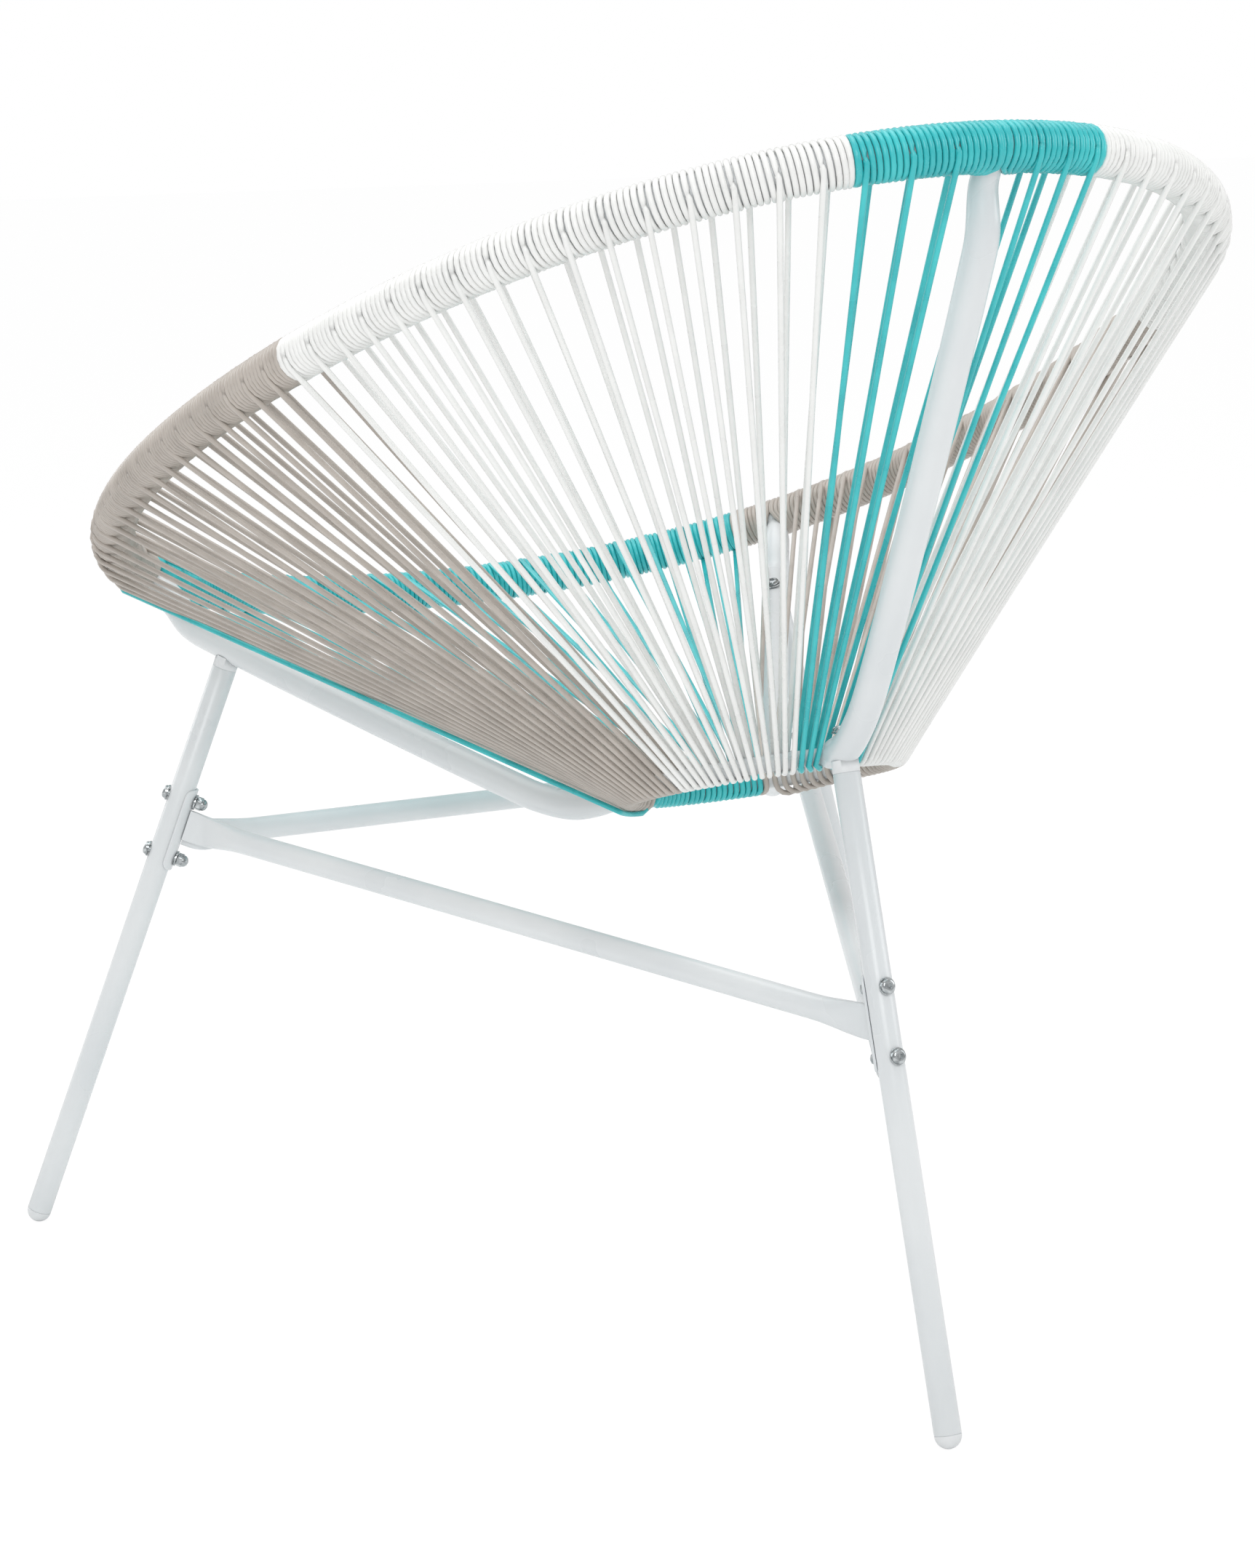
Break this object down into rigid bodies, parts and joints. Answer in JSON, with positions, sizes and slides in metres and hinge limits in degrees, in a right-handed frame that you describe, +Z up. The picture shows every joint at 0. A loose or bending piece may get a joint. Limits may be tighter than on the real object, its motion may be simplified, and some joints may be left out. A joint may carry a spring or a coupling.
{
  "type": "string lounge chair",
  "caption": "Bucket lounge chair: a curved tube rim strung with round cord to a small inner ring, held on bent supports over bolted, braced tube legs.",
  "frame": {"origin": "centre of the bounding box at floor level, under the feet", "axes": "+Z up, -Y to the seat's open front, +X to the sitter's left"},
  "size_m": [0.8134, 0.9201, 0.8833],
  "materials": {
    "white_frame": "semi-gloss white powder coat",
    "white_cord": "semi-gloss round cord",
    "gray_cord": "semi-gloss round cord",
    "teal_cord": "semi-gloss round cord",
    "foot_cap": "satin",
    "top_plug": "satin",
    "zinc": "bright zinc plate"
  },
  "bodies": {
    "root": {"brace_bolt_front_left_lower": "zinc", "brace_bolt_front_left_upper": "zinc", "brace_bolt_front_right_lower": "zinc", "brace_bolt_front_right_upper": "zinc", "brace_bolt_rear_lower": "zinc", "brace_bolt_rear_upper": "zinc", "brace_bracket_front_left": "white_frame", "brace_bracket_front_right": "white_frame", "brace_bracket_rear": "white_frame", "brace_cap_nut_front_left_lower": "zinc", "brace_cap_nut_front_left_upper": "zinc", "brace_cap_nut_front_right_lower": "zinc", "brace_cap_nut_front_right_upper": "zinc", "brace_cap_nut_rear_lower": "zinc", "brace_cap_nut_rear_upper": "zinc", "brace_tube_front": "white_frame", "brace_tube_left": "white_frame", "brace_tube_right": "white_frame", "brace_washer_front_left_lower": "zinc", "brace_washer_front_left_upper": "zinc", "brace_washer_front_right_lower": "zinc", "brace_washer_front_right_upper": "zinc", "brace_washer_rear_lower": "zinc", "brace_washer_rear_upper": "zinc", "cord_gray_left_1": "gray_cord", "cord_gray_left_2": "gray_cord", "cord_gray_left_3": "gray_cord", "cord_gray_right_1": "gray_cord", "cord_gray_right_2": "gray_cord", "cord_gray_right_3": "gray_cord", "cord_teal_back": "teal_cord", "cord_teal_front_1": "teal_cord", "cord_teal_front_2": "teal_cord", "cord_teal_front_3": "teal_cord", "cord_white_left_1": "white_cord", "cord_white_left_2": "white_cord", "cord_white_right_1": "white_cord", "cord_white_right_2": "white_cord", "foot_cap_front_left": "foot_cap", "foot_cap_front_right": "foot_cap", "foot_cap_rear": "foot_cap", "inner_ring": "white_frame", "leg_top_plug_front_left": "top_plug", "leg_top_plug_front_right": "top_plug", "leg_top_plug_rear": "top_plug", "leg_tube_front_left": "white_frame", "leg_tube_front_right": "white_frame", "leg_tube_rear": "white_frame", "rim_tube": "white_frame", "seat_bolt_front_left": "zinc", "seat_bolt_front_right": "zinc", "seat_bolt_rear": "zinc", "seat_bolt_washer_front_left": "zinc", "seat_bolt_washer_front_right": "zinc", "seat_bolt_washer_rear": "zinc", "support_tube_front_left": "white_frame", "support_tube_front_right": "white_frame", "support_tube_rear": "white_frame"}
  },
  "joints": []
}
